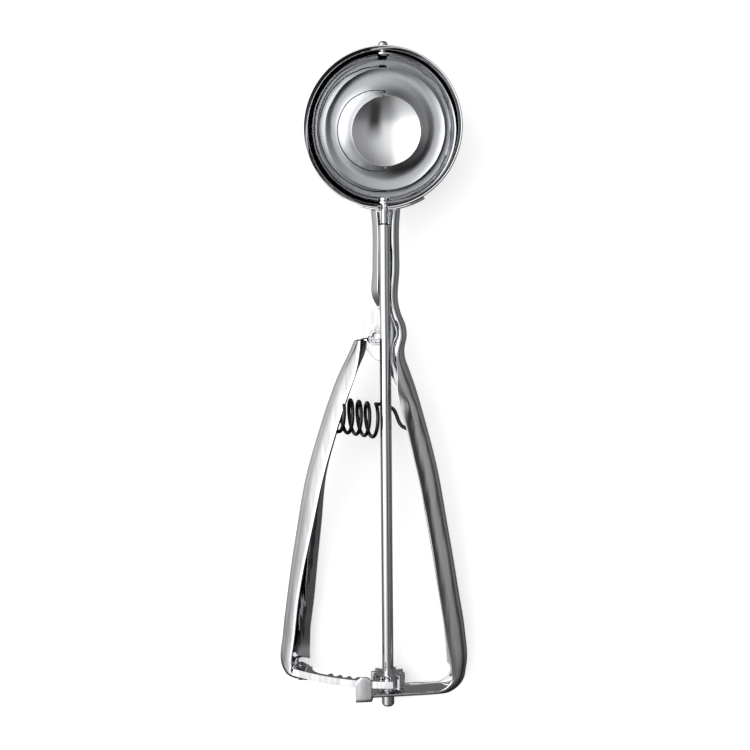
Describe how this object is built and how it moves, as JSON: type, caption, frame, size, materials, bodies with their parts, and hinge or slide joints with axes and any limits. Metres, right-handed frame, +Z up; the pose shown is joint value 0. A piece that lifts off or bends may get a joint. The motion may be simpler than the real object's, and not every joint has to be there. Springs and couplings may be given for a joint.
{
  "type": "ice cream scoop",
  "caption": "Squeeze disher in polished steel: hemispherical bowl on a channel stem, sprung handles, and an arc rack that turns a rod with a sweeping wiper blade.",
  "frame": {"origin": "bottom centre of the bounding box, with the scoop lying on its bowl and handles", "axes": "+Y from the handles to the bowl, +Z up out of the bowl's opening, +X to the right handle's side"},
  "size_m": [0.0684, 0.2388, 0.0352],
  "materials": {
    "polished_stainless": "mirror polished",
    "bright_stainless": "polished",
    "dark_spring_steel": "dark drawn wire"
  },
  "bodies": {
    "frame_and_bowl": {"bowl": "polished_stainless", "bowl_saddle": "polished_stainless", "frame": "polished_stainless", "pivot_rivet": "bright_stainless", "pivot_washer": "bright_stainless", "spring": "dark_spring_steel"},
    "left_handle": {"lever": "polished_stainless", "rack": "polished_stainless", "rack_rivet": "bright_stainless"},
    "wiper_shaft": {"rod": "bright_stainless", "pinion": "bright_stainless", "thrust_washer": "bright_stainless", "rod_end_cap": "bright_stainless", "wiper_blade": "bright_stainless", "wiper_hub": "bright_stainless", "wiper_far_pin": "bright_stainless"}
  },
  "joints": [
    {"name": "lever_squeeze", "type": "hinge", "parent": "frame_and_bowl", "child": "left_handle", "pos_m": [0.0013, 0.01656, 0.0198], "axis": [0, -0.1065, 0.9943], "range_deg": [0, 6.47], "stiffness_Nm_per_rad": 5, "springref_deg": -11.46, "deforming": ["spring"]},
    {"name": "wiper_turn", "type": "hinge", "parent": "frame_and_bowl", "child": "wiper_shaft", "pos_m": [0.0051, 0.08934, 0.02759], "axis": [0, 0.9943, 0.1065], "range_deg": [0, 150]}
  ],
  "couplings": [
    {"joint": "wiper_turn", "follows": "lever_squeeze", "ratio": 23.174}
  ]
}
